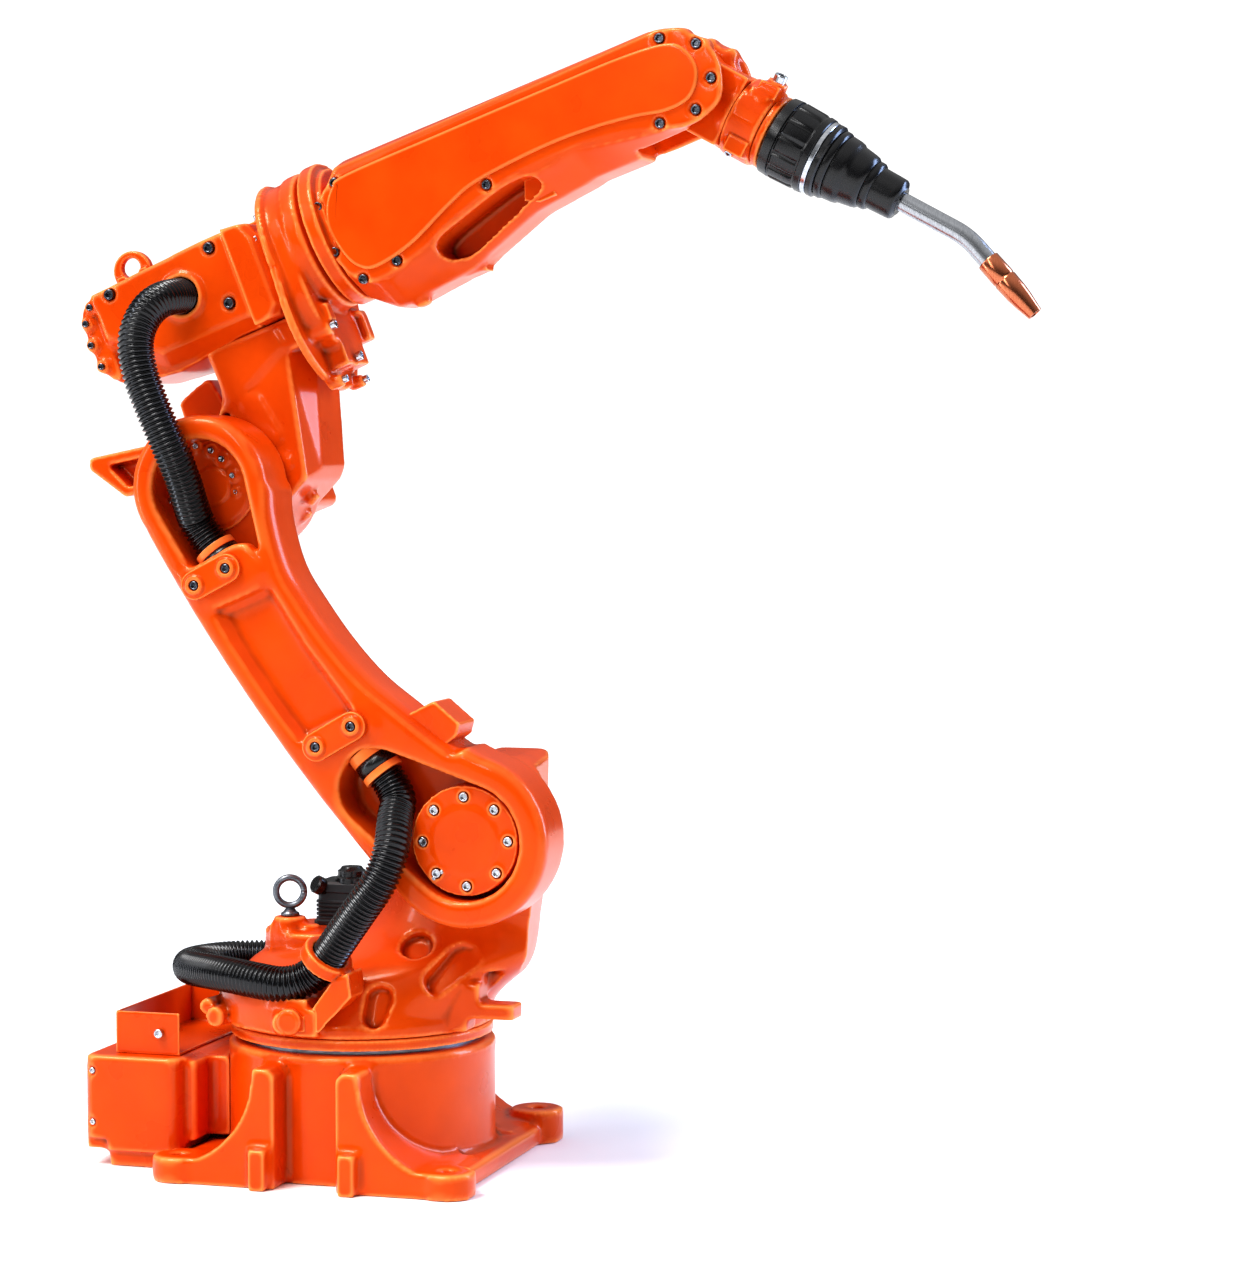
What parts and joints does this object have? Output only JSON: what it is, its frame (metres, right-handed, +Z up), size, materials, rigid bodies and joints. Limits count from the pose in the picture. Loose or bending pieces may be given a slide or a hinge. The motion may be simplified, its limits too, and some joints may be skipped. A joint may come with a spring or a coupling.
{
  "type": "industrial robot arm",
  "caption": "Articulated welding robot arm on a footed drum base, with a cast lower arm, a long forearm, external corrugated hoses and a swan-neck welding torch.",
  "frame": {"origin": "on the vertical waist axis, in the plane of the undersides of the four base feet", "axes": "+Z up, +X the way the torch points at rest, +Y to the robot's left"},
  "size_m": [1.1587, 0.4316, 1.3143],
  "materials": {
    "orange_paint": "semi-gloss enamel over cast aluminium",
    "bearing_steel": "dark oiled",
    "bare_steel": "polished",
    "black_plastic": "satin moulded",
    "hose": "corrugated conduit",
    "copper": "turned copper"
  },
  "bodies": {
    "base": {"base_casting": "orange_paint", "connector_box": "orange_paint", "cable_tray": "orange_paint", "rear_panel": "bare_steel", "slew_bearing": "bearing_steel"},
    "turret": {"turret_ring": "orange_paint", "turret_casting": "orange_paint", "cable_shelf": "orange_paint", "hose_guide": "orange_paint", "eye_bolt": "bare_steel", "turret_motor": "black_plastic", "shoulder_gearcase": "orange_paint", "shoulder_motor": "black_plastic", "hose_base_loop": "hose"},
    "lower_arm": {"arm_casting": "orange_paint", "shoulder_disc": "orange_paint", "elbow_disc": "orange_paint", "clamp_lower": "orange_paint", "clamp_upper": "orange_paint", "fitting_lower": "orange_paint", "fitting_upper": "orange_paint", "hose_lower": "hose"},
    "elbow": {"elbow_casting": "orange_paint", "rear_housing": "orange_paint", "rear_cap": "orange_paint", "collar_block": "orange_paint", "wrist_drive": "orange_paint", "lifting_eye": "orange_paint", "elbow_motor": "black_plastic", "motor_bracket": "orange_paint", "hose_upper": "hose"},
    "forearm": {"forearm_flange": "orange_paint", "forearm_casting": "orange_paint", "cover_near": "orange_paint", "cover_far": "orange_paint"},
    "wrist": {"wrist_housing": "orange_paint", "wrist_band": "orange_paint", "wrist_ring": "orange_paint"},
    "tool": {"torch_nut": "black_plastic", "torch_band": "bare_steel", "torch_body": "black_plastic", "swan_neck": "bare_steel", "nozzle": "copper", "contact_tip": "copper"}
  },
  "joints": [
    {"name": "waist", "type": "hinge", "parent": "base", "child": "turret", "pos_m": [0, 0, 0.15], "axis": [0, 0, 1], "range_deg": [-165, 165]},
    {"name": "shoulder", "type": "hinge", "parent": "turret", "child": "lower_arm", "pos_m": [0.172, 0, 0.4], "axis": [0, 1, 0], "range_deg": [-27, 100], "deforming": ["hose_lower"]},
    {"name": "elbow", "type": "hinge", "parent": "lower_arm", "child": "elbow", "pos_m": [-0.15091, 0, 0.79734], "axis": [0, -1, 0], "range_deg": [-48, 85], "deforming": ["hose_upper"]},
    {"name": "forearm_roll", "type": "hinge", "parent": "elbow", "child": "forearm", "pos_m": [-0.03759, 0, 1.0881], "axis": [0.9304, 0, 0.3665], "range_deg": [-150, 150]},
    {"name": "wrist_bend", "type": "hinge", "parent": "forearm", "child": "wrist", "pos_m": [0.39227, 0, 1.25742], "axis": [0, -1, 0], "range_deg": [-45, 145]},
    {"name": "torch_roll", "type": "hinge", "parent": "wrist", "child": "tool", "pos_m": [0.50145, 0, 1.19864], "axis": [0.8805, 0, -0.4741], "range_deg": [-200, 200]}
  ]
}
